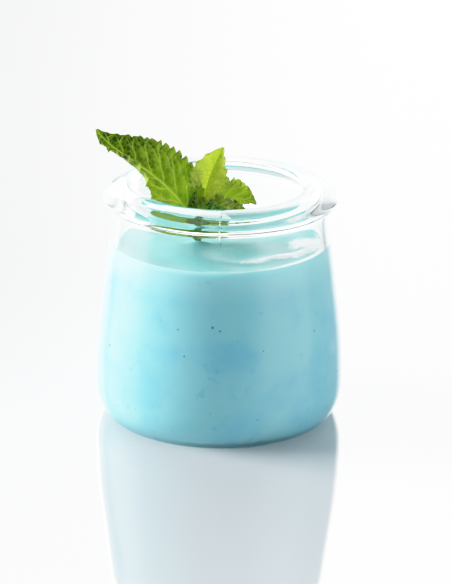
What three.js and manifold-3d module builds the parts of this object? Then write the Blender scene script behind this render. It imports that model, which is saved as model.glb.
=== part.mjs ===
// A moulded clear glass dessert cup, filled with pale blue cream and topped with a sprig of mint.
// Millimetres, +Z up. The origin is the middle of the underside, and -Y is the front.

import * as THREE from 'three';
import { mergeVertices } from 'three/addons/utils/BufferGeometryUtils.js';
import Module from 'manifold-3d';

// Glass cup, a body of revolution: widest low down, drawn in to a neck, with a thick rolled rim.
const CUP_RADIUS = 35;
const FOOT_RADIUS = 30.2;
const CORNER_HEIGHT = 10.5;
const NECK_RADIUS = 30.1;
const NECK_HEIGHT = 59;
const SIDE_BEND = 0.35; // share of the side's height over which it bends from upright to its slope
const WALL = 2.3;
const BASE_THICKNESS = 2.2;
const PUNT_RADIUS = 24; // shallow hollow under the base, which leaves a flat ring to stand on
const PUNT_DEPTH = 0.8;
const PUNT_SLOPE = 2.5;
const RIM_RADIUS = 27.7; // middle of the rim's oval section
const RIM_HEIGHT = 64.3;
const RIM_HALF_WIDTH = 5;
const RIM_HALF_HEIGHT = 2.4;
const RIM_TILT = 1.2; // the inner edge stands this far above the section's middle
const RIM_FILLET = 2.7; // height over which the wall runs into the rim
const RIM_OUTER_JOIN = -0.3 * Math.PI; // angles round the section where the wall's fillets meet it
const RIM_INNER_JOIN = 1.445 * Math.PI;

// Cream, set in the cup up to a slightly uneven level.
const GAP = 0.3; // clearance between touching pieces
const CREAM_LEVEL = 50.1;
const MENISCUS_RISE = 0.7;
const MENISCUS_WIDTH = 3;
const SWELL_HEIGHT = 0.35;
const SWELL_LENGTH = 21;
const SWELL_SLANT = 0.6;
const CALM_WIDTH = 5; // the swell and the fold die away this far from the wall
// The fold that the last of the poured cream left: an arc about a point, fading out to both ends.
const POUR_FOLD = { x: 5, y: 5, radius: 22.5, width: 2.2, height: 0.9, facing: -0.8, spread: 0.75 };

// Mint sprig: a square stem stuck in the cream, two crossed pairs of leaves and a small bud.
const STEM_WIDTH = 2.2;
const STEM_FOOT = new THREE.Vector3(-5.6, -1.4, 45);
const STEM_BEND = new THREE.Vector3(-5.7, -1.2, 51);
const STEM_HEAD = new THREE.Vector3(-6.2, 0, 54.2);
const SOCKET_DEPTH = 0.5; // the hole in the cream goes this far below the stem's foot
const LEAF_THICKNESS = 0.5;
const LEAF_END_WIDTH = 0.35;
const LEAF_FULLNESS = 1.1;
const LEAF_STALK = 0.06; // share of the midrib below the blade
const TOOTH_DEPTH = 0.13; // share of the half width
const TOOTH_INSET = 4; // exponent that keeps the teeth to the margin
const HALVES_SHIFT = 1.3; // radians by which the ruffles of a leaf's two halves are out of step

// Each leaf: the four points of its midrib's curve, the way its upper face looks, half its width, an
// exponent that sets where it is broadest, and its teeth. Its two halves fold up from the midrib by the
// angles in fold (degrees), which swing by the angles in ruffle along the leaf.
const LEAVES = [
  {
    rib: [[-6.2, -0.4, 52.8], [-13.5, -1, 70.8], [-30.5, -1.5, 74.5], [-34.4, 0, 82.2]],
    face: [0, -0.85, 0.5], halfWidth: 9.4, belly: 0.6, teeth: 12, columns: 4,
    fold: [12, 44], ruffle: [8, 38], ruffles: 1, phase: 2.7,
  },
  {
    rib: [[-5.9, 0.5, 53], [-5.6, 1.2, 62.5], [-2.6, 2.4, 70.5], [0.7, 3, 76.4]],
    face: [0.1, -0.9, 0.3], halfWidth: 5.8, belly: 1.1, teeth: 9, columns: 3,
    fold: [46, 20], ruffle: [8, 8], ruffles: 1.3, phase: 0.5,
  },
  {
    rib: [[-5.9, 0.6, 52.8], [-2, 4.5, 60.8], [4, 6, 62.5], [10, 4, 59.6]],
    face: [0, -0.3, 0.95], halfWidth: 7.6, belly: 0.85, teeth: 11, columns: 3,
    fold: [12, 36], ruffle: [12, 12], ruffles: 2.2, phase: 1,
  },
  {
    rib: [[-6.2, -0.8, 53], [-4, -4, 61.3], [2, -6.5, 62.5], [8, -7.5, 60]],
    face: [0, 0, 1], halfWidth: 5, belly: 0.75, teeth: 8, columns: 3,
    fold: [36, 36], ruffle: [14, 14], ruffles: 2.5, phase: 0,
  },
  {
    rib: [[-6.3, -0.1, 53.4], [-6.9, -0.3, 59], [-7, -0.6, 62], [-6.6, -1.2, 65.5]],
    face: [-0.6, -0.8, 0], halfWidth: 2.2, belly: 0.65, teeth: 4, columns: 2,
    fold: [40, 40], ruffle: [0, 0], ruffles: 1, phase: 0,
  },
  {
    rib: [[-6, 0, 53.4], [-5.7, -0.1, 58], [-5.2, -0.4, 60.5], [-4.9, -1, 63.4]],
    face: [0.6, -0.8, 0], halfWidth: 2, belly: 0.65, teeth: 4, columns: 2,
    fold: [40, 40], ruffle: [0, 0], ruffles: 1, phase: 0,
  },
];

// How finely each shape is divided.
const TURN_STEPS = 60;
const OUTER_CORNER_STEPS = 6;
const INNER_CORNER_STEPS = 5;
const OUTER_SIDE_STEPS = 7;
const INNER_SIDE_STEPS = 6;
const RIM_STEPS = 12;
const FILLET_STEPS = 3;
const CREAM_SIDE_STEPS = 5;
const CREAM_RINGS = 8;
const STEM_STEPS = 4;
const STEPS_PER_TOOTH = 3;

const wasm = await Module();
wasm.setup();

// Outside radius of the cup's body at a height: a quarter ellipse, then a bend into a straight slope.
function outsideRadius(height) {
  if (height < CORNER_HEIGHT) {
    const drop = 1 - height / CORNER_HEIGHT;
    return FOOT_RADIUS + (CUP_RADIUS - FOOT_RADIUS) * Math.sqrt(1 - drop * drop);
  }
  const rise = (height - CORNER_HEIGHT) / (NECK_HEIGHT - CORNER_HEIGHT);
  const bent = rise < SIDE_BEND ? (rise * rise) / (2 * SIDE_BEND) : rise - SIDE_BEND / 2;
  return CUP_RADIUS - ((CUP_RADIUS - NECK_RADIUS) * bent) / (1 - SIDE_BEND / 2);
}

// Points of a quarter ellipse from a flat floor out and up to a side.
function cornerPoints(floorRadius, sideRadius, floorHeight, sideHeight, steps) {
  return Array.from({ length: steps + 1 }, (_, step) => {
    const angle = ((step / steps) * Math.PI) / 2;
    const radius = floorRadius + (sideRadius - floorRadius) * Math.sin(angle);
    return new THREE.Vector2(radius, sideHeight - (sideHeight - floorHeight) * Math.cos(angle));
  });
}

// Points up the side, set in from the outside of the glass.
function sidePoints(inset, lowest, highest, steps) {
  return Array.from({ length: steps }, (_, step) => {
    const height = lowest + ((highest - lowest) * (step + 1)) / steps;
    return new THREE.Vector2(outsideRadius(height) - inset, height);
  });
}

// Inside of the cup from the axis up to a height, set in further by a clearance.
function insidePoints(clearance, highest, steps) {
  const floor = BASE_THICKNESS + clearance;
  const inset = WALL + clearance;
  return [
    new THREE.Vector2(0, floor),
    ...cornerPoints(FOOT_RADIUS - inset, CUP_RADIUS - inset, floor, CORNER_HEIGHT, INNER_CORNER_STEPS),
    ...sidePoints(inset, CORNER_HEIGHT, highest, steps),
  ];
}

function rimPoint(angle) {
  const radius = RIM_RADIUS + RIM_HALF_WIDTH * Math.cos(angle);
  const height = RIM_HEIGHT + RIM_HALF_HEIGHT * Math.sin(angle) - RIM_TILT * Math.cos(angle);
  return new THREE.Vector2(radius, height);
}

// The rim's section between its two joins, with a fillet down to each side of the wall.
function rimPoints() {
  const outsideWall = (height) => new THREE.Vector2(outsideRadius(height), height);
  const insideWall = (height) => new THREE.Vector2(outsideRadius(height) - WALL, height);
  const wallTop = NECK_HEIGHT + RIM_FILLET;
  const outerFillet = new THREE.QuadraticBezierCurve(
    outsideWall(NECK_HEIGHT), outsideWall(wallTop), rimPoint(RIM_OUTER_JOIN));
  const innerFillet = new THREE.QuadraticBezierCurve(
    rimPoint(RIM_INNER_JOIN), insideWall(wallTop), insideWall(NECK_HEIGHT));
  const turn = (RIM_INNER_JOIN - RIM_OUTER_JOIN) / RIM_STEPS;
  const arc = Array.from({ length: RIM_STEPS - 1 }, (_, step) =>
    rimPoint(RIM_OUTER_JOIN + turn * (step + 1)));
  return [...outerFillet.getPoints(FILLET_STEPS).slice(1), ...arc, ...innerFillet.getPoints(FILLET_STEPS)];
}

// Half the cup's section, from the middle of the underside round to the middle of the inside floor.
function cupGeometry() {
  const punt = [
    new THREE.Vector2(0, PUNT_DEPTH),
    new THREE.Vector2(PUNT_RADIUS - PUNT_SLOPE, PUNT_DEPTH),
    new THREE.Vector2(PUNT_RADIUS, 0),
  ];
  const corner = cornerPoints(FOOT_RADIUS, CUP_RADIUS, 0, CORNER_HEIGHT, OUTER_CORNER_STEPS);
  const side = sidePoints(0, CORNER_HEIGHT, NECK_HEIGHT, OUTER_SIDE_STEPS);
  const inside = insidePoints(0, NECK_HEIGHT, INNER_SIDE_STEPS).slice(0, -1).reverse();
  const section = [...punt, ...corner, ...side, ...rimPoints(), ...inside];
  return new THREE.LatheGeometry(section, TURN_STEPS).rotateX(Math.PI / 2);
}

// Height that the cream's surface stands above its level.
function creamRelief(x, y, edgeRadius) {
  const fromWall = edgeRadius - Math.hypot(x, y);
  const meniscus = MENISCUS_RISE * Math.exp(-fromWall / MENISCUS_WIDTH);
  const swell = SWELL_HEIGHT * Math.sin((2 * Math.PI * (x + SWELL_SLANT * y)) / SWELL_LENGTH);
  const fold = POUR_FOLD;
  const across = (Math.hypot(x - fold.x, y - fold.y) - fold.radius) / fold.width;
  const along = (Math.atan2(y - fold.y, x - fold.x) - fold.facing) / fold.spread;
  const poured = fold.height * Math.exp(-across * across - along * along);
  const calm = Math.exp(-((fromWall / CALM_WIDTH) ** 2));
  return meniscus + (swell + poured) * (1 - calm);
}

function creamGeometry() {
  const body = insidePoints(GAP, CREAM_LEVEL, CREAM_SIDE_STEPS);
  const edge = body[body.length - 1].x;
  const top = Array.from({ length: CREAM_RINGS }, (_, ring) =>
    new THREE.Vector2(edge * (1 - (ring + 1) / CREAM_RINGS), CREAM_LEVEL));
  const geometry = new THREE.LatheGeometry([...body, ...top], TURN_STEPS).rotateX(Math.PI / 2);
  const position = geometry.attributes.position;
  for (let i = 0; i < position.count; i += 1) {
    if (position.getZ(i) > CREAM_LEVEL - GAP) {
      position.setZ(i, CREAM_LEVEL + creamRelief(position.getX(i), position.getY(i), edge));
    }
  }
  return geometry;
}

// Square stem along its curve, made wider by a clearance all round and longer at its foot.
function stemGeometry(clearance, lower) {
  const half = STEM_WIDTH / 2 + clearance;
  const section = new THREE.Shape();
  section.moveTo(-half, -half);
  section.lineTo(half, -half);
  section.lineTo(half, half);
  section.lineTo(-half, half);
  const foot = STEM_FOOT.clone().setZ(STEM_FOOT.z - lower);
  const path = new THREE.QuadraticBezierCurve3(foot, STEM_BEND, STEM_HEAD);
  return new THREE.ExtrudeGeometry(section, { steps: STEM_STEPS, extrudePath: path });
}

// Half the blade's width at a share of its length, with teeth that lean to the tip.
function leafHalfWidth(leaf, along, side) {
  const share = Math.max(0, (along - LEAF_STALK) / (1 - LEAF_STALK));
  const blade = leaf.halfWidth * Math.sin(Math.PI * share ** leaf.belly) ** LEAF_FULLNESS;
  const tooth = ((along * leaf.teeth) % 1) - 0.5;
  return LEAF_END_WIDTH + blade * (1 + TOOTH_DEPTH * tooth * Math.abs(side) ** TOOTH_INSET);
}

// A point of the leaf's middle surface: side runs from -1 at one margin to 1 at the other.
function leafPoint(leaf, along, side) {
  const rib = new THREE.CubicBezierCurve3(...leaf.rib.map((point) => new THREE.Vector3(...point)));
  const forward = rib.getTangent(along);
  const across = forward.clone().cross(new THREE.Vector3(...leaf.face)).normalize();
  const up = across.clone().cross(forward);
  const half = side > 0 ? 0 : 1;
  const wave = Math.sin(2 * Math.PI * leaf.ruffles * along + leaf.phase + half * HALVES_SHIFT);
  const fold = THREE.MathUtils.degToRad(leaf.fold[half] + leaf.ruffle[half] * wave * Math.abs(side));
  const reach = leafHalfWidth(leaf, along, side) * side;
  return rib.getPoint(along)
    .addScaledVector(across, reach * Math.cos(fold))
    .addScaledVector(up, Math.abs(reach) * Math.sin(fold));
}

function leafNormal(leaf, along, side) {
  const step = 0.01;
  const next = leafPoint(leaf, Math.min(along + step, 1), side);
  const ahead = next.sub(leafPoint(leaf, Math.max(along - step, 0), side));
  const beside = leafPoint(leaf, along, side + step).sub(leafPoint(leaf, along, side - step));
  return beside.cross(ahead).normalize();
}

// A leaf as a thin closed sheet, with its two faces split into triangles alike.
function leafGeometry(leaf) {
  const rows = leaf.teeth * STEPS_PER_TOOTH;
  const columns = leaf.columns * 2;
  const faceSize = (rows + 1) * (columns + 1);
  const at = (row, column) => row * (columns + 1) + column;
  const upper = [];
  const lower = [];
  for (let row = 0; row <= rows; row += 1) {
    for (let column = 0; column <= columns; column += 1) {
      const along = row / rows;
      const side = (2 * column) / columns - 1;
      const middle = leafPoint(leaf, along, side);
      const offset = leafNormal(leaf, along, side).multiplyScalar(LEAF_THICKNESS / 2);
      upper.push(...middle.clone().add(offset).toArray());
      lower.push(...middle.clone().sub(offset).toArray());
    }
  }
  const triangles = [];
  for (let row = 0; row < rows; row += 1) {
    for (let column = 0; column < columns; column += 1) {
      const [a, b] = [at(row, column), at(row, column + 1)];
      const [c, d] = [at(row + 1, column + 1), at(row + 1, column)];
      triangles.push(a, b, c, a, c, d);
      triangles.push(...[a, c, b, a, d, c].map((index) => index + faceSize));
    }
  }
  const border = [
    ...Array.from({ length: columns }, (_, column) => at(0, column)),
    ...Array.from({ length: rows }, (_, row) => at(row, columns)),
    ...Array.from({ length: columns }, (_, column) => at(rows, columns - column)),
    ...Array.from({ length: rows }, (_, row) => at(rows - row, 0)),
  ];
  border.forEach((start, place) => {
    const end = border[(place + 1) % border.length];
    triangles.push(start, start + faceSize, end + faceSize, start, end + faceSize, end);
  });
  const geometry = new THREE.BufferGeometry();
  geometry.setAttribute('position', new THREE.Float32BufferAttribute([...upper, ...lower], 3));
  geometry.setIndex(triangles);
  return geometry;
}

// Joins a geometry's shared corners and drops the empty triangles that a lathe leaves on its axis.
function weld(geometry) {
  const bare = geometry.clone();
  bare.deleteAttribute('normal');
  bare.deleteAttribute('uv');
  const joined = mergeVertices(bare);
  const corners = Array.from(joined.index.array);
  const kept = [];
  for (let i = 0; i < corners.length; i += 3) {
    const triangle = corners.slice(i, i + 3);
    if (new Set(triangle).size === 3) kept.push(...triangle);
  }
  joined.setIndex(kept);
  return joined;
}

function toSolid(geometry) {
  const joined = weld(geometry);
  return new wasm.Manifold(new wasm.Mesh({
    numProp: 3,
    vertProperties: joined.attributes.position.array,
    triVerts: new Uint32Array(joined.index.array),
  }));
}

function toGeometry(solid) {
  const mesh = solid.getMesh();
  const geometry = new THREE.BufferGeometry();
  geometry.setAttribute('position', new THREE.BufferAttribute(mesh.vertProperties, 3));
  geometry.setIndex(new THREE.BufferAttribute(mesh.triVerts, 1));
  return geometry;
}

function addPiece(group, name, geometry, material) {
  geometry.computeVertexNormals();
  const mesh = new THREE.Mesh(geometry, new THREE.MeshStandardMaterial(material));
  mesh.name = name;
  group.add(mesh);
}

const CLEAR_GLASS = { color: '#eef4f4', roughness: 0.03, metalness: 0, transparent: true, opacity: 0.35 };
const BLUE_CREAM = { color: '#7cc4d3', roughness: 0.3, metalness: 0 };
const MINT_GREEN = { color: '#5f8f1c', roughness: 0.5, metalness: 0 };

const stem = toSolid(stemGeometry(0, 0));
const socket = toSolid(stemGeometry(GAP, SOCKET_DEPTH));
const cream = toSolid(creamGeometry()).subtract(socket);
const sprig = LEAVES.reduce((whole, leaf) => whole.add(toSolid(leafGeometry(leaf))), stem);

const dessert = new THREE.Group();
addPiece(dessert, 'glass_cup', weld(cupGeometry()), CLEAR_GLASS);
addPiece(dessert, 'blue_cream', toGeometry(cream), BLUE_CREAM);
addPiece(dessert, 'mint_sprig', toGeometry(sprig), MINT_GREEN);

export default dessert;
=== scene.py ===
import math

import bpy
import numpy as np
from mathutils import Matrix, Quaternion, Vector


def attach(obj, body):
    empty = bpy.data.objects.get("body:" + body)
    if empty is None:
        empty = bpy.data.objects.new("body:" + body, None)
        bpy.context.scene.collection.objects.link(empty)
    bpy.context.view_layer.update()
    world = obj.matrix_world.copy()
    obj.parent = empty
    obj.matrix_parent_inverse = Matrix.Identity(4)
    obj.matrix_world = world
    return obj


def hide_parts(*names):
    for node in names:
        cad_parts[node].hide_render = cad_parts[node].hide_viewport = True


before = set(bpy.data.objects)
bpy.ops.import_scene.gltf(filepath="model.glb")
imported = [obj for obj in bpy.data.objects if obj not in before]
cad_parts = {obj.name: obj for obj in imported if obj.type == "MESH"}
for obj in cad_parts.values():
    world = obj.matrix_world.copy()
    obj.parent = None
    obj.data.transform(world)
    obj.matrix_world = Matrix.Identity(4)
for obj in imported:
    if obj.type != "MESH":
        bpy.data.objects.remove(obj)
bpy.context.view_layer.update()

# A moulded glass dessert cup of pale blue cream with a sprig of mint. Sizes are in millimetres.
MM = 0.001

# Glass cup: widest low down, drawn in to a neck, with a thick rolled rim.
CUP_RADIUS = 35
FOOT_RADIUS = 30.2
CORNER_HEIGHT = 10.5
NECK_RADIUS = 30.1
NECK_HEIGHT = 59
SIDE_BEND = 0.35
WALL = 2.3
BASE_THICKNESS = 2.2
PUNT_RADIUS = 24
PUNT_DEPTH = 0.8
PUNT_SLOPE = 2.5
RIM_RADIUS = 27.7
RIM_HEIGHT = 64.3
RIM_HALF_WIDTH = 5
RIM_HALF_HEIGHT = 2.4
RIM_TILT = 1.2
RIM_FILLET = 2.7
RIM_OUTER_JOIN = -0.3 * math.pi
RIM_INNER_JOIN = 1.445 * math.pi
GLASS_WAVE = 0.05  # how far the outside wanders from a true circle
GLASS_WAVE_FOOT = 2  # from this height up
GLASS_WAVES = ((1, 3, 0.08, 0), (0.6, 5, -0.17, 1))  # share, waves round, turn for each mm up, phase
SEAM_HEIGHT = 0.1  # the line that the two halves of the mould left, front and back
SEAM_WIDTH = 0.2
SEAM_REACH = 3  # seam widths to each side that are finely divided
SEAM_ANGLES = (-0.5 * math.pi, 0.5 * math.pi)
SEAM_BOTTOM = 40
SEAM_FADE = 6
GLASS_BOUNCES = 2  # mirrorings after which light that is caught in the glass is let out

# Cream, set in the cup up to a slightly uneven level. It reaches just into the glass.
INTO_GLASS = 0.08
CREAM_LEVEL = 50.1
MENISCUS_RISE = 0.7
MENISCUS_WIDTH = 3
SWELL_HEIGHT = 0.35
SWELL_LENGTH = 21
SWELL_SLANT = 0.6
CALM_WIDTH = 5  # the swell and the fold die away this far from the wall
POUR_FOLD = {"x": 5, "y": 5, "radius": 22.5, "width": 2.2, "height": 0.9, "facing": -0.8, "spread": 0.75}

# Whey on the cream, shiny and painted white as a highlight: along the fold, in shares of its width and
# spread, along the wall and in a small pool.
WET_AND_HIGHLIGHT_FOLD = {"offset": 0.3, "width": 0.8, "length": 1.1}
WET_AND_HIGHLIGHT_EDGE = {"from_wall": 0.9, "width": 0.8, "facing": -0.65, "spread": 0.85}
WET_AND_HIGHLIGHT_POOL = {"x": 23, "y": -2, "radius": 4.5}

# Where the cream meets the stem and the base, and the light from above that is painted on its side.
STEM_COLLAR = 2.2  # the cream clings to the stem this far up
STEM_COLLAR_WIDTH = 2.2
UNDERSIDE_DIP = 1.1  # in the middle, where the cream reaches down into the base
UNDERSIDE_DIP_RADIUS = 24.5
PAINTED_LIGHT_BAND = 9  # painted light: the side is painted paler this far down from its top, where light gets in

# Grains of dye that didn't dissolve, lying against the glass.
GRAIN_SEED = 7
GRAIN_COUNT = 280
GRAIN_RADIUS = 0.14
GRAIN_SPREAD = 0.45  # how uneven the grains' sizes are
LARGEST_GRAIN = {"angle": math.radians(-93.4), "height": 35.6, "radius": 0.42}
GRAIN_FLATNESS = 0.5  # depth as a share of the width
GRAIN_LOWEST = 4
GRAIN_HIGHEST = 46

# Mint sprig: a square stem, two crossed pairs of leaves and a small bud.
STEM_WIDTH = 2.2
STEM_HALF_WIDTH = 0.46 * STEM_WIDTH  # before its sides are hollowed
STEM_SQUARENESS = 5  # exponent of the rounded square
STEM_HOLLOW = 0.07  # share by which the sides sink in
STEM_HOLLOW_SHARPNESS = 8
STEM_SWELL = 0.12  # share by which it swells at its head
STEM_SWELL_LENGTH = 0.12  # share of its length
STEM_FOOT = (-5.6, -1.4, 45)
STEM_BEND = (-5.7, -1.2, 51)
STEM_HEAD = (-6.2, 0, 54.2)
LEAF_THICKNESS = 0.36
LEAF_END_WIDTH = 0.35
LEAF_FULLNESS = 1.1
LEAF_STALK = 0.06  # share of the midrib below the blade
TOOTH_DEPTH = 0.15  # share of the half width
TOOTH_ROOT = 0.6  # share of a tooth that is cut into the blade
TOOTH_UNEVEN = 0.35  # how much one tooth differs from the next
TOOTH_PACE = 2.3  # radians from one tooth to the next in that pattern
TOOTH_INSET = 5  # exponent that keeps the teeth to the margin
TOOTH_LIFT = 0.9  # the teeth also stand up from the blade
HALVES_SHIFT = 1.3  # radians by which the ruffles of a leaf's two halves are out of step
VEIN_LEAN = 1.15  # how far a side vein runs to the tip for each step out from the midrib
VEIN_CURVE = 0.02  # and how much more for each millimetre out
VEIN_WIDTH = 0.15
VEIN_FOOT = 1.2  # vein widths at the midrib
VEIN_TAPER = 0.7  # vein widths lost on the way to the margin
VEIN_WAVER = 0.035  # share of the gap between side veins
VEIN_WAVER_PACE = {"along": 1.7, "across": 1.3, "slant": 0.6}  # radians for each millimetre
FORK_START = 0.4  # share of the half width at which a side vein forks
QUILT_HEIGHT = 0.34  # the blade swells up between its side veins
QUILT_WIDTH = 0.22  # share of the gap between side veins
QUILT_FROM_RIB = 1.5
QUILT_FULL = 5  # half width from which a leaf is quilted in full
RIB_GROOVE = 0.3
RIB_TIP_WIDTH = 0.25
RIB_TAPER = 0.35  # and how much wider it is at the foot
MARGIN_INSET = 6  # exponent that keeps the thin margin to the edge
MARGIN_CURL = 0.5  # the margin waves up and down, once for two teeth
MARGIN_CURL_INSET = 4
SIDES_SHIFT = 2  # radians that move one margin's teeth and curls on and the other's back
VEIN_SIDES_SHIFT = 3  # and the waver of the veins

# Each leaf: its midrib's curve, the way its upper face looks, half its width, an exponent that sets where
# it is broadest, its teeth and the gap between its side veins. Its two halves fold up from the midrib by
# the angles in fold (degrees), which swing by the angles in ruffle along the leaf. Its flesh is young and
# yellow, and painted lighter where light falls on it and darker where it is in shade, by the first share at
# its foot and the second at its tip.
LEAVES = {
    "mint_leaf_left": {
        "rib": [(-6.2, -0.4, 52.8), (-13.5, -1, 70.8), (-30.5, -1.5, 74.5), (-34.4, 0, 82.2)],
        "face": (0, -0.85, 0.5), "half_width": 9.4, "belly": 0.6, "teeth": 23, "vein_gap": 4.8,
        "fold": (12, 44), "ruffle": (8, 38), "ruffles": 1, "phase": 2.7, "young_and_painted_light": (1.1, -0.4),
    },
    "mint_leaf_middle": {
        "rib": [(-5.9, 0.5, 53), (-5.6, 1.2, 62.5), (-2.6, 2.4, 70.5), (0.7, 3, 76.4)],
        "face": (0.1, -0.9, 0.3), "half_width": 5.8, "belly": 1.25, "teeth": 17, "vein_gap": 3.6,
        "fold": (46, 20), "ruffle": (8, 8), "ruffles": 1.3, "phase": 0.5, "young_and_painted_light": (1.8, 1.3),
    },
    "mint_leaf_right": {
        "rib": [(-5.9, 0.6, 52.8), (-2, 4.5, 60.8), (4, 6, 62.5), (10, 4, 59.6)],
        "face": (0, -0.3, 0.95), "half_width": 7.6, "belly": 0.85, "teeth": 19, "vein_gap": 3.4,
        "fold": (12, 36), "ruffle": (12, 12), "ruffles": 2.2, "phase": 1, "young_and_painted_light": (0.95, 0.85),
    },
    "mint_leaf_front": {
        "rib": [(-6.2, -0.8, 53), (-4, -4, 61.3), (2, -6.5, 62.5), (8, -7.5, 60)],
        "face": (0, 0, 1), "half_width": 5, "belly": 0.75, "teeth": 15, "vein_gap": 3,
        "fold": (36, 36), "ruffle": (14, 14), "ruffles": 2.5, "phase": 0, "young_and_painted_light": (0.2, 0.3),
    },
    "mint_bud_outer": {
        "rib": [(-6.3, -0.1, 53.4), (-6.9, -0.3, 59), (-7, -0.6, 62), (-6.6, -1.2, 65.5)],
        "face": (-0.6, -0.8, 0), "half_width": 2.2, "belly": 0.65, "teeth": 5, "vein_gap": 1.6,
        "fold": (40, 40), "ruffle": (0, 0), "ruffles": 1, "phase": 0, "young_and_painted_light": (-0.4, 0),
    },
    "mint_bud_inner": {
        "rib": [(-6, 0, 53.4), (-5.7, -0.1, 58), (-5.2, -0.4, 60.5), (-4.9, -1, 63.4)],
        "face": (0.6, -0.8, 0), "half_width": 2, "belly": 0.65, "teeth": 5, "vein_gap": 1.6,
        "fold": (40, 40), "ruffle": (0, 0), "ruffles": 1, "phase": 0, "young_and_painted_light": (-0.4, -0.1),
    },
}

# How finely each shape is divided.
GLASS_TURNS = 216
SEAM_STEPS = 13
CORNER_STEPS = 20
SIDE_STEPS = 44
RIM_STEPS = 64
FILLET_STEPS = 10
PUNT_STEPS = 8
PUNT_RINGS = 5
PUNT_FIRST_RING = 4  # its radius
FLOOR_RINGS = 6  # on the floor inside the cup
CREAM_TURNS = 240
CREAM_RINGS = 90
ROWS_PER_TOOTH = 12
LEAF_HALF_COLUMNS = 30
RIB_STEPS = 200
STEM_STEPS = 40
STEM_TURNS = 32
GRAIN_ROWS = 4
GRAIN_TURNS = 8
FLOOR_TURNS = 64

# The floor, a little under the cup so that their faces don't meet.
FLOOR_RADIUS = 5000
FLOOR_DROP = 0.05

# Camera, at the photograph's viewing angle. The frame is taller than it is wide.
FRAME_HEIGHT = 584
FOCAL_PIXELS = 2482.8
SENSOR = 36
CAMERA_DISTANCE = 700
CAMERA_ELEVATION = math.radians(19.6)
CAMERA_PIVOT = (0, 0, 35)
CAMERA_TARGET = (1.76, 0, 34.85)
CAMERA_ROLL = math.radians(0.64)

# Soft lights round the cup: the way to its middle, the cosines of the angles from there at which it fades
# out and is full, and its strength.
SOFT_LIGHTS = {
    "backdrop": ((0.06, 0.96, 0.26), 0.9, 0.97, 2.0),
    "backdrop_right": ((0.27, 0.92, 0.3), 0.93, 0.985, 4.0),
    "backdrop_left": ((-0.44, 0.86, 0.28), 0.93, 0.985, 4.0),
    "left": ((-0.95, 0.17, 0.3), 0.88, 0.975, 5.0),
    "backdrop_high": ((-0.05, 0.8, 0.6), 0.95, 0.99, 4.0),
    "right": ((0.9, -0.38, 0.3), 0.78, 0.97, 2.8),
}
KEY_WAY = (-0.925, 0.163, 0.342)  # the way to the soft box that lights the left side
KEY_DISTANCE = 1100
KEY_SIZE = (550, 550)
KEY_GLOW = 34
PANEL_CORNERS = ((55, 365, 986), (-51, 1850, 1052), (-249, 378, 208))  # near, far and low
PANEL_GLOW = 9
ROOM_GLOW = {"front": 0.05, "round": 0.2, "above": 0.3}  # the white room itself

# Film: the light that shows as white, and how much light shows as how bright on the way up.
FILM_WHITE = 4.0
FILM_SHOULDER = ((0.45, 0.45), (0.75, 0.67), (1.0, 0.8), (1.3, 0.89), (2.0, 0.965))


# Outside radius of the cup's body at each height.
def outside_radius(height):
    drop = np.clip(1 - height / CORNER_HEIGHT, 0, 1)
    corner = FOOT_RADIUS + (CUP_RADIUS - FOOT_RADIUS) * np.sqrt(1 - drop * drop)
    rise = np.clip((height - CORNER_HEIGHT) / (NECK_HEIGHT - CORNER_HEIGHT), 0, None)
    bent = np.where(rise < SIDE_BEND, rise * rise / (2 * SIDE_BEND), rise - SIDE_BEND / 2)
    side = CUP_RADIUS - (CUP_RADIUS - NECK_RADIUS) * bent / (1 - SIDE_BEND / 2)
    return np.where(height < CORNER_HEIGHT, corner, side)


# Radius and height up a quarter ellipse, from a flat floor to a side.
def corner_section(floor_radius, side_radius, floor_height):
    angle = np.linspace(0, math.pi / 2, CORNER_STEPS)
    radius = floor_radius + (side_radius - floor_radius) * np.sin(angle)
    return np.column_stack([radius, CORNER_HEIGHT - (CORNER_HEIGHT - floor_height) * np.cos(angle)])


# Radius and height up the body's side, set in from the outside of the glass.
def side_section(inset, highest):
    height = np.linspace(CORNER_HEIGHT, highest, SIDE_STEPS)[1:]
    return np.column_stack([outside_radius(height) - inset, height])


# The inside of the cup from near the axis up to a height, set in from the outside of the glass.
def inside_section(inset, floor, highest):
    flat_radius = np.linspace(0, FOOT_RADIUS - inset, FLOOR_RINGS + 2)[1:-1]
    flat = np.column_stack([flat_radius, np.full_like(flat_radius, floor)])
    corner = corner_section(FOOT_RADIUS - inset, CUP_RADIUS - inset, floor)
    return np.vstack([flat, corner, side_section(inset, highest)])


# Points of a Bezier curve, each at a share of the way from its start to its end.
def bezier(points, share):
    points = np.array(points, float)
    order = len(points) - 1
    weights = [math.comb(order, i) * share**i * (1 - share) ** (order - i) for i in range(order + 1)]
    return np.array(weights).T @ points


# Radius and height on the rim's tilted oval.
def rim_point(angle):
    radius = RIM_RADIUS + RIM_HALF_WIDTH * np.cos(angle)
    height = RIM_HEIGHT + RIM_HALF_HEIGHT * np.sin(angle) - RIM_TILT * np.cos(angle)
    return np.stack([radius, height], -1)


# The rim's oval section between its two joins, with a fillet down to each side of the wall.
def rim_section():
    wall_top = NECK_HEIGHT + RIM_FILLET
    top_radius = float(outside_radius(np.array(wall_top)))
    share = np.linspace(0, 1, FILLET_STEPS)
    outer = [(NECK_RADIUS, NECK_HEIGHT), (top_radius, wall_top), rim_point(RIM_OUTER_JOIN)]
    inner = [rim_point(RIM_INNER_JOIN), (top_radius - WALL, wall_top), (NECK_RADIUS - WALL, NECK_HEIGHT)]
    arc = rim_point(np.linspace(RIM_OUTER_JOIN, RIM_INNER_JOIN, RIM_STEPS)[1:-1])
    return np.vstack([bezier(outer, share)[1:], arc, bezier(inner, share)])


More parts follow.
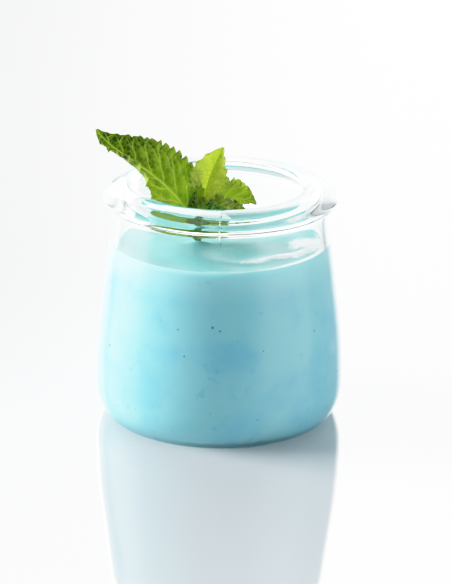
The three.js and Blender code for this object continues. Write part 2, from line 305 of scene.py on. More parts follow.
# Half the cup's section, from the underside round to the inside floor, without its ends on the axis.
def cup_section():
    slope = np.linspace(0, 1, PUNT_STEPS)
    ease = slope * slope * (3 - 2 * slope)
    flat_radius = np.linspace(PUNT_FIRST_RING, PUNT_RADIUS - PUNT_SLOPE, PUNT_RINGS + 1)[:-1]
    punt = np.vstack([
        np.column_stack([flat_radius, np.full_like(flat_radius, PUNT_DEPTH)]),
        np.column_stack([PUNT_RADIUS - PUNT_SLOPE * (1 - slope), PUNT_DEPTH * (1 - ease)]),
        [(0.5 * (PUNT_RADIUS + FOOT_RADIUS), 0)],
    ])
    corner = corner_section(FOOT_RADIUS, CUP_RADIUS, 0)
    inside = inside_section(WALL, BASE_THICKNESS, NECK_HEIGHT)[-2::-1]
    return np.vstack([punt, corner, side_section(0, NECK_HEIGHT), rim_section(), inside])


# Faces of a closed skin over a point, a ring of corners for each row and a last point.
def ring_faces(rows, turns):
    here = 1 + np.arange(rows * turns).reshape(rows, turns)
    beside = np.roll(here, -1, axis=1)
    bands = np.stack([here[:-1], beside[:-1], beside[1:], here[1:]], -1).reshape(-1, 4).tolist()
    last = rows * turns + 1
    fans = [(0, b, a) for a, b in zip(here[0].tolist(), beside[0].tolist())]
    fans += [(last, a, b) for a, b in zip(here[-1].tolist(), beside[-1].tolist())]
    return bands + fans


# Corners and faces of a turned shape, whose first and last points lie on the axis at these heights.
def turned_shape(radius, height, angles, first, last):
    rings = np.stack([radius * np.cos(angles), radius * np.sin(angles), height], -1).reshape(-1, 3)
    return np.vstack([[(0, 0, first)], rings, [(0, 0, last)]]), ring_faces(*radius.shape)


# A smooth mesh piece that rides with the cup and stands for one of its solids.
def add_piece(name, corners, faces, node, materials):
    mesh = bpy.data.meshes.new(name)
    mesh.from_pydata((np.asarray(corners) * MM).tolist(), [], faces)
    mesh.polygons.foreach_set("use_smooth", [True] * len(mesh.polygons))
    mesh.update()
    piece = bpy.data.objects.new(name, mesh)
    bpy.context.scene.collection.objects.link(piece)
    for material in materials:
        mesh.materials.append(material)
    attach(piece, "root")
    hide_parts(node)
    return piece


# A number for each corner of a piece, for its material to read.
def add_measure(piece, name, values):
    attribute = piece.data.attributes.new(name, "FLOAT", "POINT")
    attribute.data.foreach_set("value", np.asarray(values, np.float32))


# Even turns, with close ones across each mould seam so that its ridge has a shape of its own.
def glass_angles():
    even = np.arange(GLASS_TURNS) * 2 * math.pi / GLASS_TURNS
    across = np.linspace(-SEAM_REACH, SEAM_REACH, SEAM_STEPS) * SEAM_WIDTH / NECK_RADIUS
    fine = [seam + across for seam in SEAM_ANGLES]
    return np.unique(np.round(np.concatenate([even - math.pi, *fine]), 6))


# The cup, a little out of round on its outside, with its seams and its thick rim.
def make_glass(wall_material, rim_material):
    section = cup_section()
    angles = glass_angles()
    radius = np.repeat(section[:, :1], len(angles), axis=1)
    height = np.repeat(section[:, 1:], len(angles), axis=1)
    outside = np.arange(len(section)) < np.argmax(section[:, 1])
    body = np.clip((section[:, 1] - GLASS_WAVE_FOOT) / CORNER_HEIGHT, 0, 1) * outside
    wander = sum(
        share * np.sin(waves * angles + turn * height + phase) for share, waves, turn, phase in GLASS_WAVES
    )
    ridge = sum(np.exp(-((angles - seam) * NECK_RADIUS / SEAM_WIDTH) ** 2) for seam in SEAM_ANGLES)
    shown = np.clip((section[:, 1] - SEAM_BOTTOM) / SEAM_FADE, 0, 1) * outside
    radius = radius + GLASS_WAVE * wander * body[:, None] + SEAM_HEIGHT * ridge * shown[:, None]
    corners, faces = turned_shape(radius, height, angles, PUNT_DEPTH, BASE_THICKNESS)
    glass = add_piece("glass", corners, faces, "glass_cup", [wall_material, rim_material])
    in_rim = (section[:-1, 1] > NECK_HEIGHT) & (section[1:, 1] > NECK_HEIGHT)
    bands = np.repeat(in_rim.astype(int), len(angles))
    ends = np.zeros(len(faces) - len(bands), int)
    glass.data.polygons.foreach_set("material_index", np.append(bands, ends))
    return glass


# How far a place on the cream lies across the fold from its crest and along it from its middle, in the
# fold's width and spread.
def fold_place(x, y):
    fold = POUR_FOLD
    across = (np.hypot(x - fold["x"], y - fold["y"]) - fold["radius"]) / fold["width"]
    along = (np.arctan2(y - fold["y"], x - fold["x"]) - fold["facing"]) / fold["spread"]
    return across, along


# Height that the cream's surface stands above its level.
def cream_relief(x, y, edge):
    from_wall = edge - np.hypot(x, y)
    across, along = fold_place(x, y)
    meniscus = MENISCUS_RISE * np.exp(-from_wall / MENISCUS_WIDTH)
    calm = np.exp(-((from_wall / CALM_WIDTH) ** 2))
    swell = SWELL_HEIGHT * np.sin(2 * math.pi * (x + SWELL_SLANT * y) / SWELL_LENGTH)
    poured = POUR_FOLD["height"] * np.exp(-across * across - along * along)
    from_stem = np.hypot(x - STEM_FOOT[0], y - STEM_FOOT[1])
    collar = STEM_COLLAR * np.exp(-np.clip(from_stem - STEM_WIDTH / 2, 0, None) / STEM_COLLAR_WIDTH)
    return meniscus + (swell + poured) * (1 - calm) + collar


# How wet the cream's surface is, which also sets where a highlight is painted on it.
def cream_wetness_and_highlight(x, y, edge):
    across, along = fold_place(x, y)
    off_fold = (across - WET_AND_HIGHLIGHT_FOLD["offset"]) / WET_AND_HIGHLIGHT_FOLD["width"]
    on_fold = np.exp(-(off_fold**2) - (along / WET_AND_HIGHLIGHT_FOLD["length"]) ** 4)
    off_edge = (edge - np.hypot(x, y) - WET_AND_HIGHLIGHT_EDGE["from_wall"]) / WET_AND_HIGHLIGHT_EDGE["width"]
    round_edge = (np.arctan2(y, x) - WET_AND_HIGHLIGHT_EDGE["facing"]) / WET_AND_HIGHLIGHT_EDGE["spread"]
    on_edge = np.exp(-(off_edge**2) - round_edge**4)
    in_pool = np.exp(-((np.hypot(x - WET_AND_HIGHLIGHT_POOL["x"], y - WET_AND_HIGHLIGHT_POOL["y"]) / WET_AND_HIGHLIGHT_POOL["radius"]) ** 2))
    return np.maximum(np.maximum(on_fold, on_edge), in_pool)


# The cream: its side lies against the glass, and its top has the fold, the swell and the whey with its
# painted highlight.
def make_cream(side_material, top_material):
    inset = WALL - INTO_GLASS
    body = inside_section(inset, BASE_THICKNESS - INTO_GLASS, CREAM_LEVEL)
    body[body[:, 0] < UNDERSIDE_DIP_RADIUS, 1] -= UNDERSIDE_DIP
    edge = body[-1, 0]
    angles = np.arange(CREAM_TURNS) * 2 * math.pi / CREAM_TURNS
    rings = edge * np.linspace(1, 0, CREAM_RINGS + 1)[1:-1]
    level = np.full_like(rings, CREAM_LEVEL)
    radius = np.concatenate([body[:, 0], rings])[:, None] * np.ones(CREAM_TURNS)
    height = np.concatenate([body[:, 1], level])[:, None] * np.ones(CREAM_TURNS)
    top = slice(len(body) - 1, None)
    x, y = radius[top] * np.cos(angles), radius[top] * np.sin(angles)
    height[top] += cream_relief(x, y, edge)
    middle = CREAM_LEVEL + float(cream_relief(np.array(0.0), np.array(0.0), edge))
    corners, faces = turned_shape(radius, height, angles, body[0, 1], middle)
    cream = add_piece("cream", corners, faces, "blue_cream", [side_material, top_material])
    side_faces = (len(body) - 1) * CREAM_TURNS
    is_top = np.zeros(len(faces), int)
    is_top[side_faces:(radius.shape[0] - 1) * CREAM_TURNS] = 1
    is_top[-CREAM_TURNS:] = 1
    cream.data.polygons.foreach_set("material_index", is_top)
    wet_and_highlight = np.zeros(len(corners))
    wet_and_highlight[-1 - x.size:-1] = cream_wetness_and_highlight(x, y, edge).ravel()
    add_measure(cream, "wet_and_highlight", wet_and_highlight)
    return cream


# Flattened beads of uneven size, half sunk in the side of the cream.
def make_grains(material):
    draw = np.random.default_rng(GRAIN_SEED)
    angle = draw.uniform(-math.pi, math.pi, GRAIN_COUNT)
    height = draw.uniform(GRAIN_LOWEST, GRAIN_HIGHEST, GRAIN_COUNT)
    size = GRAIN_RADIUS * np.exp(GRAIN_SPREAD * draw.standard_normal(GRAIN_COUNT))
    angle[0], height[0], size[0] = LARGEST_GRAIN.values()
    out = np.stack([np.cos(angle), np.sin(angle), np.zeros(GRAIN_COUNT)], -1)
    beside = np.stack([-out[:, 1], out[:, 0], out[:, 2]], -1)
    centre = (outside_radius(height) - WALL)[:, None] * out + height[:, None] * (0, 0, 1)
    rise = np.linspace(-0.5, 0.5, GRAIN_ROWS + 2)[1:-1, None] * math.pi * np.ones(GRAIN_TURNS)
    turn = np.arange(GRAIN_TURNS) * 2 * math.pi / GRAIN_TURNS
    corners, faces = turned_shape(np.cos(rise), np.sin(rise), turn, -1, 1)
    beads = [
        centre[i] + size[i] * (
            GRAIN_FLATNESS * np.outer(corners[:, 0], out[i])
            + np.outer(corners[:, 1], beside[i])
            + np.outer(corners[:, 2], (0, 0, 1))
        )
        for i in range(GRAIN_COUNT)
    ]
    starts = range(0, GRAIN_COUNT * len(corners), len(corners))
    all_faces = [[start + corner for corner in face] for start in starts for face in faces]
    return add_piece("dye_grains", np.vstack(beads), all_faces, "blue_cream", [material])


def unit(vectors):
    return vectors / np.linalg.norm(vectors, axis=-1, keepdims=True)


# How far a place stands out on one of the uneven, round-backed teeth that lean to the tip.
def leaf_tooth(leaf, along, side):
    count = along * leaf["teeth"]
    uneven = 1 + TOOTH_UNEVEN * np.sin(TOOTH_PACE * np.floor(count) + SIDES_SHIFT * np.sign(side))
    return uneven * (np.sqrt(count % 1) - TOOTH_ROOT) * np.abs(side) ** TOOTH_INSET


# Half the blade's width at a share of its length.
def leaf_half_width(leaf, along, side, tooth_depth):
    share = np.clip((along - LEAF_STALK) / (1 - LEAF_STALK), 0, 1)
    blade = leaf["half_width"] * np.sin(math.pi * share ** leaf["belly"]) ** LEAF_FULLNESS
    return LEAF_END_WIDTH + blade * (1 + tooth_depth * leaf_tooth(leaf, along, side))


# Points of the leaf's middle surface: side runs from -1 at one margin to 1 at the other.
def leaf_points(leaf, along, side, tooth_depth):
    rib = np.array(leaf["rib"], float)
    forward = unit(bezier(np.diff(rib, axis=0), along))
    across = unit(np.cross(forward, np.array(leaf["face"], float)))
    up = np.cross(across, forward)
    half = np.where(side > 0, 0, 1)
    wave = np.sin(2 * math.pi * leaf["ruffles"] * along + leaf["phase"] + half * HALVES_SHIFT)
    swing = np.array(leaf["ruffle"])[half] * wave * np.abs(side)
    fold = np.radians(np.array(leaf["fold"])[half] + swing)
    reach = leaf_half_width(leaf, along, side, tooth_depth) * side
    out = (reach * np.cos(fold))[:, None] * across
    rise = (np.abs(reach) * np.sin(fold))[:, None] * up
    return bezier(rib, along) + out + rise, reach


# Distance along the midrib, in millimetres, at each share of its curve.
def rib_length(leaf, along):
    share = np.linspace(0, 1, RIB_STEPS)
    steps = np.linalg.norm(np.diff(bezier(leaf["rib"], share), axis=0), axis=1)
    return np.interp(along, share, np.concatenate([[0], np.cumsum(steps)]))


# Distance, in millimetres, to the nearest side vein. The side veins leave the midrib by turns, lean to the
# tip, waver, and fork on their way out, so that each branch meets the next vein's at the margin.
def side_vein_distance(leaf, length, reach, side):
    out = np.abs(reach)
    pace = VEIN_WAVER_PACE
    along_waver = np.sin(pace["along"] * length + VEIN_SIDES_SHIFT * np.sign(side))
    waver = VEIN_WAVER * (along_waver + np.sin(pace["across"] * out + pace["slant"] * length))
    foot = length - VEIN_LEAN * out - VEIN_CURVE * out**2
    place = foot / leaf["vein_gap"] + 0.5 * (side > 0) + waver
    slanted_gap = leaf["vein_gap"] / math.hypot(1, VEIN_LEAN)
    forked = 0.5 * np.clip((np.abs(side) - FORK_START) / (1 - FORK_START), 0, 1)
    return np.abs(np.abs(place - np.round(place)) - forked) * slanted_gap


# A leaf as a thin closed sheet with its veins sunk in, its blade quilted between them and a toothed margin.
def make_leaf(name, leaf, material):
    rows = leaf["teeth"] * ROWS_PER_TOOTH
    columns = 2 * LEAF_HALF_COLUMNS
    row, column = np.meshgrid(np.arange(rows + 1), np.arange(columns + 1), indexing="ij")
    along, side = (row / rows).ravel(), (2 * column / columns - 1).ravel()
    middle, reach = leaf_points(leaf, along, side, TOOTH_DEPTH)
    smooth, _ = leaf_points(leaf, along, side, 0)
    smooth = smooth.reshape(rows + 1, columns + 1, 3)
    normal = unit(np.cross(np.gradient(smooth, axis=1), np.gradient(smooth, axis=0))).reshape(-1, 3)
    length = rib_length(leaf, along)
    from_vein = side_vein_distance(leaf, length, reach, side)
    inner = 1 - np.abs(side) ** MARGIN_INSET
    vein = np.exp(-(from_vein / (VEIN_WIDTH * (VEIN_FOOT - VEIN_TAPER * np.abs(side)))) ** 2) * inner
    rib = np.exp(-(reach / (RIB_TIP_WIDTH + RIB_TAPER * (1 - along))) ** 2)
    quilt = 1 - np.exp(-(from_vein / (QUILT_WIDTH * leaf["vein_gap"])) ** 2)
    beside_rib = 1 - np.exp(-(reach / QUILT_FROM_RIB) ** 2)
    swell = QUILT_HEIGHT * quilt * inner * beside_rib * np.clip(leaf["half_width"] / QUILT_FULL, 0, 1)
    wave = np.sin(math.pi * leaf["teeth"] * along + SIDES_SHIFT * np.sign(side))
    curl = MARGIN_CURL * np.abs(side) ** MARGIN_CURL_INSET * wave
    lift = TOOTH_LIFT * leaf_tooth(leaf, along, side)
    taper = np.sin(math.pi * along) ** 0.5
    relief = swell + (curl + lift - RIB_GROOVE * rib) * taper
    half_thickness = 0.5 * LEAF_THICKNESS * (1 - 0.5 * np.abs(side) ** MARGIN_INSET)
    upper = middle + normal * (relief + half_thickness)[:, None]
    lower = middle + normal * (relief - half_thickness)[:, None]
    size = len(middle)
    at = np.arange(size).reshape(rows + 1, columns + 1)
    a, b, c, d = at[:-1, :-1], at[:-1, 1:], at[1:, 1:], at[1:, :-1]
    upper_faces = np.stack([a, b, c, d], -1).reshape(-1, 4)
    lower_faces = np.stack([d, c, b, a], -1).reshape(-1, 4) + size
    border = np.concatenate([at[0, :-1], at[:-1, -1], at[-1, :0:-1], at[:0:-1, 0]])
    after = np.roll(border, -1)
    edge_faces = np.stack([border, border + size, after + size, after], -1)
    faces = np.vstack([upper_faces, lower_faces, edge_faces]).tolist()
    piece = add_piece(name, np.vstack([upper, lower]), faces, "mint_sprig", [material])
    young_and_light_foot, young_and_light_tip = leaf["young_and_painted_light"]
    add_measure(piece, "vein", np.tile(np.maximum(vein, rib), 2))
    add_measure(piece, "underside", np.repeat([0.0, 1.0], size))
    add_measure(piece, "along_mm", np.tile(length, 2))
    add_measure(piece, "across_mm", np.tile(reach, 2))
    add_measure(piece, "to_margin", np.tile(np.abs(side), 2))
    add_measure(piece, "young_and_painted_light", np.tile(young_and_light_foot + (young_and_light_tip - young_and_light_foot) * along, 2))
    return piece


# The stem: a square section with rounded corners and hollow sides, swelling at the node under the leaves.
def make_stem(material):
    share = np.linspace(0, 1, STEM_STEPS)
    curve = [STEM_FOOT, STEM_BEND, STEM_HEAD]
    centre = bezier(curve, share)
    forward = unit(bezier(np.diff(np.array(curve, float), axis=0), share))
    beside = unit(np.cross(forward, (0, 1, 0)))
    ahead = np.cross(forward, beside)
    angles = np.arange(STEM_TURNS) * 2 * math.pi / STEM_TURNS
    cosine, sine = np.cos(angles), np.sin(angles)
    squared = np.abs(cosine) ** STEM_SQUARENESS + np.abs(sine) ** STEM_SQUARENESS
    hollow = 1 - STEM_HOLLOW * np.cos(2 * angles) ** STEM_HOLLOW_SHARPNESS
    reach = (STEM_HALF_WIDTH * hollow / squared ** (1 / STEM_SQUARENESS))[:, None]
    swell = 1 + STEM_SWELL * np.exp(-((1 - share) / STEM_SWELL_LENGTH) ** 2)
    ring = reach * cosine[:, None] * beside[:, None] + reach * sine[:, None] * ahead[:, None]
    sections = centre[:, None] + swell[:, None, None] * ring
    corners = np.vstack([centre[:1], sections.reshape(-1, 3), centre[-1:]])
    faces = ring_faces(STEM_STEPS, STEM_TURNS)
    return add_piece("mint_stem", corners, faces, "mint_sprig", [material])


# A colour from its sRGB hex value, as the shaders want it.
def linear(hex_value):
    parts = [int(hex_value[i:i + 2], 16) / 255 for i in (1, 3, 5)]
    return (*(p / 12.92 if p <= 0.04045 else ((p + 0.055) / 1.055) ** 2.4 for p in parts), 1)


# Adds a node with its settings, and gives each input a value or a link.
def add_node(tree, kind, inputs, **settings):
    made = tree.nodes.new(kind)
    for name, value in settings.items():
        setattr(made, name, value)
    for name, value in inputs.items():
        if isinstance(value, bpy.types.NodeSocket):
            tree.links.new(value, made.inputs[name])
        else:
            made.inputs[name].default_value = value
    return made


def new_material(name):
    material = bpy.data.materials.new(name)
    material.use_nodes = True
    material.node_tree.nodes.clear()
    return material, material.node_tree


# Cells or waves for each metre, for a pattern whose cells are this many millimetres wide.
def per_metre(size_mm):
    return 1 / (size_mm * MM)


# Soda-lime glass, pressed in a mould and fire polished: clear, heavy at the rim, with soft ripples that
# bend what shows through it. Lamps and scattered light go straight through to what is inside, dimmed by the
# thick rim, and light that is caught between the walls is let out after a few bounces.
def moulded_soda_glass(name, lets_through):
    material, tree = new_material(name)
    place = add_node(tree, "ShaderNodeTexCoord", {})
    ripple = add_node(tree, "ShaderNodeTexNoise", {
        "Vector": place.outputs["Object"], "Scale": per_metre(9), "Detail": 1.0,
    })
    bump = add_node(tree, "ShaderNodeBump", {
        "Height": ripple.outputs["Fac"], "Strength": 0.15, "Distance": 0.3 * MM,
    })
    glass = add_node(tree, "ShaderNodeBsdfPrincipled", {
        "Base Color": linear("#f9fefd"), "Roughness": 0.0, "IOR": 1.52, "Transmission Weight": 1.0,
        "Normal": bump.outputs["Normal"],
    })
    clear = add_node(tree, "ShaderNodeBsdfTransparent", {"Color": linear(lets_through)})
    path = add_node(tree, "ShaderNodeLightPath", {})
    inside = add_node(tree, "ShaderNodeMixShader", {
        "Fac": path.outputs["Is Diffuse Ray"], 1: glass.outputs[0], 2: clear.outputs[0],
    })
    through = add_node(tree, "ShaderNodeMixShader", {
        "Fac": path.outputs["Is Shadow Ray"], 1: inside.outputs[0], 2: clear.outputs[0],
    })
    caught = add_node(tree, "ShaderNodeMath", {
        0: path.outputs["Glossy Depth"], 1: GLASS_BOUNCES,
    }, operation="GREATER_THAN")
    freed = add_node(tree, "ShaderNodeMixShader", {
        "Fac": caught.outputs[0], 1: through.outputs[0], 2: clear.outputs[0],
    })
    add_node(tree, "ShaderNodeOutputMaterial", {"Surface": freed.outputs[0]})
    return material


# Dyed milk cream, set against the glass: soft and cloudy, light sinks a few millimetres into it, with
# bluer drifts, and painted light that makes it paler under its top. The glass lies on it, so it has no
# gloss of its own.
def set_dyed_cream():
    material, tree = new_material("set_dyed_cream")
    place = add_node(tree, "ShaderNodeTexCoord", {}).outputs["Object"]
    colour = linear("#8ed6e4")
    for drift_size, faint, full, drift_colour in ((17, 0.42, 0.7, "#7ecbe4"), (5, 0.62, 0.8, "#6cbcde")):
        drift = add_node(tree, "ShaderNodeTexNoise", {
            "Vector": place, "Scale": per_metre(drift_size), "Detail": 3.0, "Roughness": 0.6,
        })
        share = add_node(tree, "ShaderNodeMapRange", {
            "Value": drift.outputs["Fac"], "From Min": faint, "From Max": full,
        }, interpolation_type="SMOOTHSTEP")
        colour = add_node(tree, "ShaderNodeMix", {
            0: share.outputs[0], 6: colour, 7: linear(drift_colour),
        }, data_type="RGBA").outputs[2]
    height = add_node(tree, "ShaderNodeSeparateXYZ", {"Vector": place}).outputs["Z"]
    # Painted light: the side is painted paler towards its top, where light gets in.
    painted_top_light = add_node(tree, "ShaderNodeMapRange", {
        "Value": height, "To Max": 0.5,
        "From Min": (CREAM_LEVEL - PAINTED_LIGHT_BAND) * MM, "From Max": CREAM_LEVEL * MM,
    }, interpolation_type="SMOOTHSTEP")
    colour = add_node(tree, "ShaderNodeMix", {
        0: painted_top_light.outputs[0], 6: colour, 7: linear("#b8f2f6"),
    }, data_type="RGBA").outputs[2]
    cream = add_node(tree, "ShaderNodeBsdfPrincipled", {
        "Base Color": colour, "Roughness": 0.6, "Specular IOR Level": 0.0,
        "Subsurface Weight": 1.0, "Subsurface Radius": (0.8, 1.0, 1.0), "Subsurface Scale": 3.5 * MM,
    })
    add_node(tree, "ShaderNodeOutputMaterial", {"Surface": cream.outputs[0]})
    return material


# Food dye left dry in the cream: dark teal specks, matt and a little uneven.
def dry_dye_grain():
    material, tree = new_material("dry_dye_grain")
    place = add_node(tree, "ShaderNodeTexCoord", {}).outputs["Object"]
    shade = add_node(tree, "ShaderNodeTexNoise", {"Vector": place, "Scale": per_metre(6)})
    colour = add_node(tree, "ShaderNodeMix", {
        0: shade.outputs["Fac"], 6: linear("#1f5f7c"), 7: linear("#4a9cc4"),
    }, data_type="RGBA")
    grain = add_node(tree, "ShaderNodeBsdfPrincipled", {
        "Base Color": colour.outputs[2], "Roughness": 0.7, "Specular IOR Level": 0.0,
    })
    add_node(tree, "ShaderNodeOutputMaterial", {"Surface": grain.outputs[0]})
    return material


# The same cream's open top, smoothed by its own weight: painted darker and greener than its side as painted
# shade, dull, with a fine skin, and shiny in streaks where whey lies on it, which are painted white as a
# highlight.
def wet_cream_top():
    material, tree = new_material("wet_cream_top")
    place = add_node(tree, "ShaderNodeTexCoord", {}).outputs["Object"]
    drift = add_node(tree, "ShaderNodeTexNoise", {
        "Vector": place, "Scale": per_metre(9), "Detail": 3.0, "Distortion": 0.6,
    })
    # Painted shade: the top's colours are darker and greener than the side's.
    colour = add_node(tree, "ShaderNodeMix", {
        0: drift.outputs["Fac"], 6: linear("#84ced0"), 7: linear("#6cc0c6"),
    }, data_type="RGBA")
    skin = add_node(tree, "ShaderNodeTexNoise", {
        "Vector": place, "Scale": per_metre(3.5), "Detail": 2.0, "Distortion": 1.2,
    })
    bump = add_node(tree, "ShaderNodeBump", {
        "Height": skin.outputs["Fac"], "Strength": 0.3, "Distance": 0.4 * MM,
    })
    wet_and_highlight = add_node(tree, "ShaderNodeAttribute", {}, attribute_name="wet_and_highlight")
    streak = add_node(tree, "ShaderNodeMath", {
        0: wet_and_highlight.outputs["Fac"], 1: skin.outputs["Fac"],
    }, operation="MULTIPLY")
    sheen = add_node(tree, "ShaderNodeMapRange", {
        "Value": streak.outputs[0], "From Min": 0.15, "From Max": 0.45, "To Min": 0.015, "To Max": 1.0,
    })
    # Painted highlight: the streaks are whitened in their colour, standing in for the light that they
    # reflect.
    painted_highlight = add_node(tree, "ShaderNodeMapRange", {
        "Value": streak.outputs[0], "From Min": 0.2, "From Max": 0.45, "To Max": 0.95,
    })
    colour = add_node(tree, "ShaderNodeMix", {
        0: painted_highlight.outputs[0], 6: colour.outputs[2], 7: linear("#eef8f7"),
    }, data_type="RGBA")
    cream = add_node(tree, "ShaderNodeBsdfPrincipled", {
        "Base Color": colour.outputs[2], "Roughness": 0.2, "IOR": 1.36,
        "Specular IOR Level": sheen.outputs[0], "Normal": bump.outputs["Normal"],
        "Subsurface Weight": 1.0, "Subsurface Radius": (0.8, 1.0, 1.0), "Subsurface Scale": 3 * MM,
    })
    add_node(tree, "ShaderNodeOutputMaterial", {"Surface": cream.outputs[0]})
    return material


# Fresh mint leaf: a thin waxy skin over juicy flesh that glows when light is behind it, dark green where it
# is old and yellow where it is young, painted paler where it is lit and darker where it is shaded, with
# pale veins and a net of fine ones.
def fresh_mint_leaf():
    material, tree = new_material("fresh_mint_leaf")
    measures = {
        name: add_node(tree, "ShaderNodeAttribute", {}, attribute_name=name).outputs["Fac"]
        for name in ("vein", "underside", "along_mm", "across_mm", "to_margin", "young_and_painted_light")
    }
    # This place is in millimetres, so a pattern's scale is one over its size in millimetres.
    blade_place = add_node(tree, "ShaderNodeCombineXYZ", {
        "X": measures["along_mm"], "Y": measures["across_mm"], "Z": measures["underside"],
    }).outputs[0]
    patch = add_node(tree, "ShaderNodeTexNoise", {"Vector": blade_place, "Scale": 1 / 4, "Detail": 3.0})
    patchy = add_node(tree, "ShaderNodeMapRange", {
        "Value": patch.outputs["Fac"], "From Min": 0.3, "From Max": 0.7, "To Min": -0.4, "To Max": 0.35,
    })
    # Painted light and shade: the young measure also makes lit leaves lighter and shaded leaves darker.
    ripeness_and_painted_light = add_node(tree, "ShaderNodeMath", {
        0: patchy.outputs[0], 1: measures["young_and_painted_light"],
    }, operation="ADD")
    # Painted light: past one, the young measure paints the leaf pale, as if lit.
    painted_leaf_light = add_node(tree, "ShaderNodeMapRange", {
        "Value": measures["young_and_painted_light"], "From Min": 1.0, "From Max": 1.6,
    })
    net = add_node(tree, "ShaderNodeTexVoronoi", {
        "Vector": blade_place, "Scale": 1 / 1.3,
    }, feature="DISTANCE_TO_EDGE")
    net_line = add_node(tree, "ShaderNodeMapRange", {
        "Value": net.outputs["Distance"], "From Min": 0.2, "From Max": 0.02, "To Max": 0.55,
    })
    margin = add_node(tree, "ShaderNodeMapRange", {
        "Value": measures["to_margin"], "From Min": 0.92, "From Max": 1.0, "To Max": 0.6,
    })
    layers = (
        (ripeness_and_painted_light.outputs[0], "#b0ce22"),
        (painted_leaf_light.outputs[0], "#f6fd7c"),
        (net_line.outputs[0], "#b4d23c"),
        (measures["vein"], "#d4e66c"),
        (margin.outputs[0], "#c0d86e"),
    )
    colour = linear("#386206")
    for share, layer_colour in layers:
        colour = add_node(tree, "ShaderNodeMix", {
            0: share, 6: colour, 7: linear(layer_colour),
        }, data_type="RGBA", clamp_factor=True).outputs[2]
    relief = add_node(tree, "ShaderNodeBump", {
        "Height": net.outputs["Distance"], "Strength": 0.6, "Distance": 0.2 * MM,
    })
    sheen = add_node(tree, "ShaderNodeMapRange", {
        "Value": patch.outputs["Fac"], "To Min": 0.36, "To Max": 0.52,
    })
    skin = add_node(tree, "ShaderNodeBsdfPrincipled", {
        "Base Color": colour, "Roughness": sheen.outputs[0], "IOR": 1.42, "Specular IOR Level": 0.25,
        "Normal": relief.outputs["Normal"],
    })
    flesh = add_node(tree, "ShaderNodeBsdfTranslucent", {"Color": colour})
    leaf = add_node(tree, "ShaderNodeMixShader", {"Fac": 0.45, 1: skin.outputs[0], 2: flesh.outputs[0]})
    add_node(tree, "ShaderNodeOutputMaterial", {"Surface": leaf.outputs[0]})
    return material


# Young mint stem: smooth and juicy, green with a brown tinge in streaks along it.
def young_mint_stem():
    material, tree = new_material("young_mint_stem")
    place = add_node(tree, "ShaderNodeTexCoord", {}).outputs["Object"]
    streak_place = add_node(tree, "ShaderNodeMapping", {"Vector": place, "Scale": (1, 1, 0.15)})
    streak = add_node(tree, "ShaderNodeTexNoise", {
        "Vector": streak_place.outputs[0], "Scale": per_metre(0.8), "Detail": 2.0,
    })
    colour = add_node(tree, "ShaderNodeMix", {
        0: streak.outputs["Fac"], 6: linear("#6f8f2e"), 7: linear("#7b7334"),
    }, data_type="RGBA")
    stem = add_node(tree, "ShaderNodeBsdfPrincipled", {
        "Base Color": colour.outputs[2], "Roughness": 0.4, "IOR": 1.42, "Subsurface Weight": 0.4,
        "Subsurface Radius": (0.7, 1.0, 0.3), "Subsurface Scale": 0.6 * MM,
    })
    add_node(tree, "ShaderNodeOutputMaterial", {"Surface": stem.outputs[0]})
    return material


# Polished white acrylic sheet: pale, with a clear mirror image of what stands on it.
def polished_acrylic():
    material, tree = new_material("polished_acrylic")
    sheet = add_node(tree, "ShaderNodeBsdfPrincipled", {
        "Base Color": linear("#bcc0c4"), "Roughness": 0.03, "IOR": 2.4,
    })
    add_node(tree, "ShaderNodeOutputMaterial", {"Surface": sheet.outputs[0]})
    return material


def make_floor():
    angles = np.arange(FLOOR_TURNS) * 2 * math.pi / FLOOR_TURNS
    level = np.full_like(angles, -FLOOR_DROP)
    corners = np.column_stack([FLOOR_RADIUS * np.cos(angles), FLOOR_RADIUS * np.sin(angles), level])
    mesh = bpy.data.meshes.new("floor")
    mesh.from_pydata((corners * MM).tolist(), [], [tuple(range(FLOOR_TURNS))])
    floor = bpy.data.objects.new("floor", mesh)
    bpy.context.scene.collection.objects.link(floor)
    mesh.materials.append(polished_acrylic())


# A flat lamp that glows evenly over its face and isn't seen itself.
def add_lamp(name, middle, along, across, glow):
    lamp = bpy.data.lights.new(name, "AREA")
    lamp.shape = "RECTANGLE"
    lamp.size = along.length * MM
    lamp.size_y = across.length * MM
    lamp.energy = glow * math.pi * lamp.size * lamp.size_y
    piece = bpy.data.objects.new(name, lamp)
    bpy.context.scene.collection.objects.link(piece)
    x, y = along.normalized(), across.normalized()
    turn = Matrix((x, y, x.cross(y))).transposed()
    piece.matrix_world = Matrix.Translation(middle * MM) @ turn.to_4x4()
    piece.visible_camera = False
    return piece


# The soft box on the left, which lights the cup. It leaves no bright patch on the glass.
def add_key():
    way = Vector(KEY_WAY).normalized()
    beside = Vector((0, 0, 1)).cross(way).normalized()
    along, across = beside * KEY_SIZE[0], way.cross(beside) * KEY_SIZE[1]
    key = add_lamp("key", way * KEY_DISTANCE, along, across, KEY_GLOW)
    key.visible_glossy = False


# A tall panel behind the cup, which shows as a bright band on the glass rim. It lights nothing else.
def add_panel(glass):
    near, far, low = (Vector(corner) for corner in PANEL_CORNERS)
    panel = add_lamp("panel", 0.5 * (far + low), far - near, low - near, PANEL_GLOW)
    panel.visible_diffuse = False
    lit = bpy.data.collections.new("lit_by_panel")
    lit.objects.link(glass)
    panel.light_linking.receiver_collection = lit


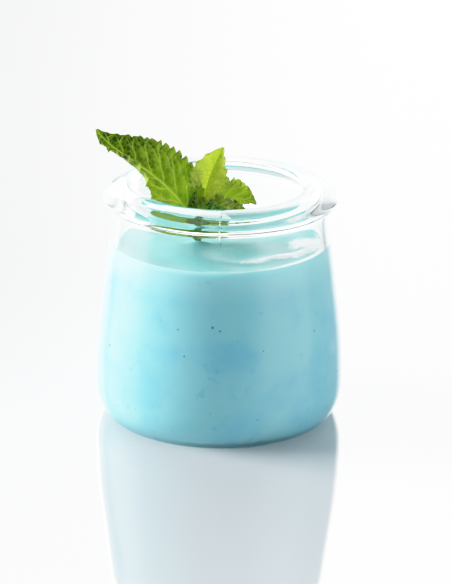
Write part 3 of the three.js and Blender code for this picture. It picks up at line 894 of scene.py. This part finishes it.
# A white room: dark in front, brighter all round and above, with soft lights of its own.
def light_studio():
    world = bpy.data.worlds.new("studio")
    bpy.context.scene.world = world
    world.use_nodes = True
    tree = world.node_tree
    tree.nodes.clear()
    way = add_node(tree, "ShaderNodeTexCoord", {}).outputs["Generated"]
    parts = add_node(tree, "ShaderNodeSeparateXYZ", {"Vector": way})
    round_about = add_node(tree, "ShaderNodeMapRange", {
        "Value": parts.outputs["Y"], "From Min": -0.8, "From Max": -0.25,
        "To Min": ROOM_GLOW["front"], "To Max": ROOM_GLOW["round"],
    }, interpolation_type="SMOOTHSTEP")
    above = add_node(tree, "ShaderNodeMapRange", {
        "Value": parts.outputs["Z"], "From Min": 0.5, "From Max": 0.9, "To Max": ROOM_GLOW["above"],
    }, interpolation_type="SMOOTHSTEP")
    strength = add_node(tree, "ShaderNodeMath", {
        0: round_about.outputs[0], 1: above.outputs[0],
    }, operation="ADD").outputs[0]
    for middle, faint, full, power in SOFT_LIGHTS.values():
        facing = add_node(tree, "ShaderNodeVectorMath", {
            0: way, 1: Vector(middle).normalized(),
        }, operation="DOT_PRODUCT")
        glow = add_node(tree, "ShaderNodeMapRange", {
            "Value": facing.outputs["Value"], "From Min": faint, "From Max": full, "To Max": power,
        }, interpolation_type="SMOOTHSTEP")
        strength = add_node(tree, "ShaderNodeMath", {
            0: strength, 1: glow.outputs[0],
        }, operation="ADD").outputs[0]
    sky = add_node(tree, "ShaderNodeBackground", {"Color": linear("#ffffff"), "Strength": strength})
    add_node(tree, "ShaderNodeOutputWorld", {"Surface": sky.outputs[0]})


def set_camera():
    lens = bpy.data.cameras.new("camera")
    lens.sensor_fit = "VERTICAL"
    lens.sensor_height = SENSOR
    lens.lens = FOCAL_PIXELS / FRAME_HEIGHT * SENSOR
    camera = bpy.data.objects.new("camera", lens)
    bpy.context.scene.collection.objects.link(camera)
    back = CAMERA_DISTANCE * math.cos(CAMERA_ELEVATION)
    up = CAMERA_DISTANCE * math.sin(CAMERA_ELEVATION)
    camera.location = (Vector(CAMERA_PIVOT) + Vector((0, -back, up))) * MM
    look = (Vector(CAMERA_TARGET) * MM - camera.location).to_track_quat("-Z", "Y")
    camera.rotation_euler = (look @ Quaternion((0, 0, 1), CAMERA_ROLL)).to_euler()
    bpy.context.scene.camera = camera


# The film's response: true in the shades, with a soft shoulder up to white.
def set_film():
    view = bpy.context.scene.view_settings
    view.view_transform = "Standard"
    view.use_curve_mapping = True
    curve = view.curve_mapping
    curve.white_level = (FILM_WHITE, FILM_WHITE, FILM_WHITE)
    points = curve.curves[3].points
    for light, shown in FILM_SHOULDER:
        points.new(light / FILM_WHITE, shown)
    curve.update()


set_camera()
thin_glass = moulded_soda_glass("moulded_soda_glass", "#f4fbfa")
thick_glass = moulded_soda_glass("thick_soda_glass", "#bcc4c4")
glass_cup = make_glass(thin_glass, thick_glass)
make_cream(set_dyed_cream(), wet_cream_top())
make_grains(dry_dye_grain())
mint_leaf = fresh_mint_leaf()
for leaf_name, leaf_form in LEAVES.items():
    make_leaf(leaf_name, leaf_form, mint_leaf)
make_stem(young_mint_stem())
make_floor()
light_studio()
add_key()
add_panel(glass_cup)
set_film()
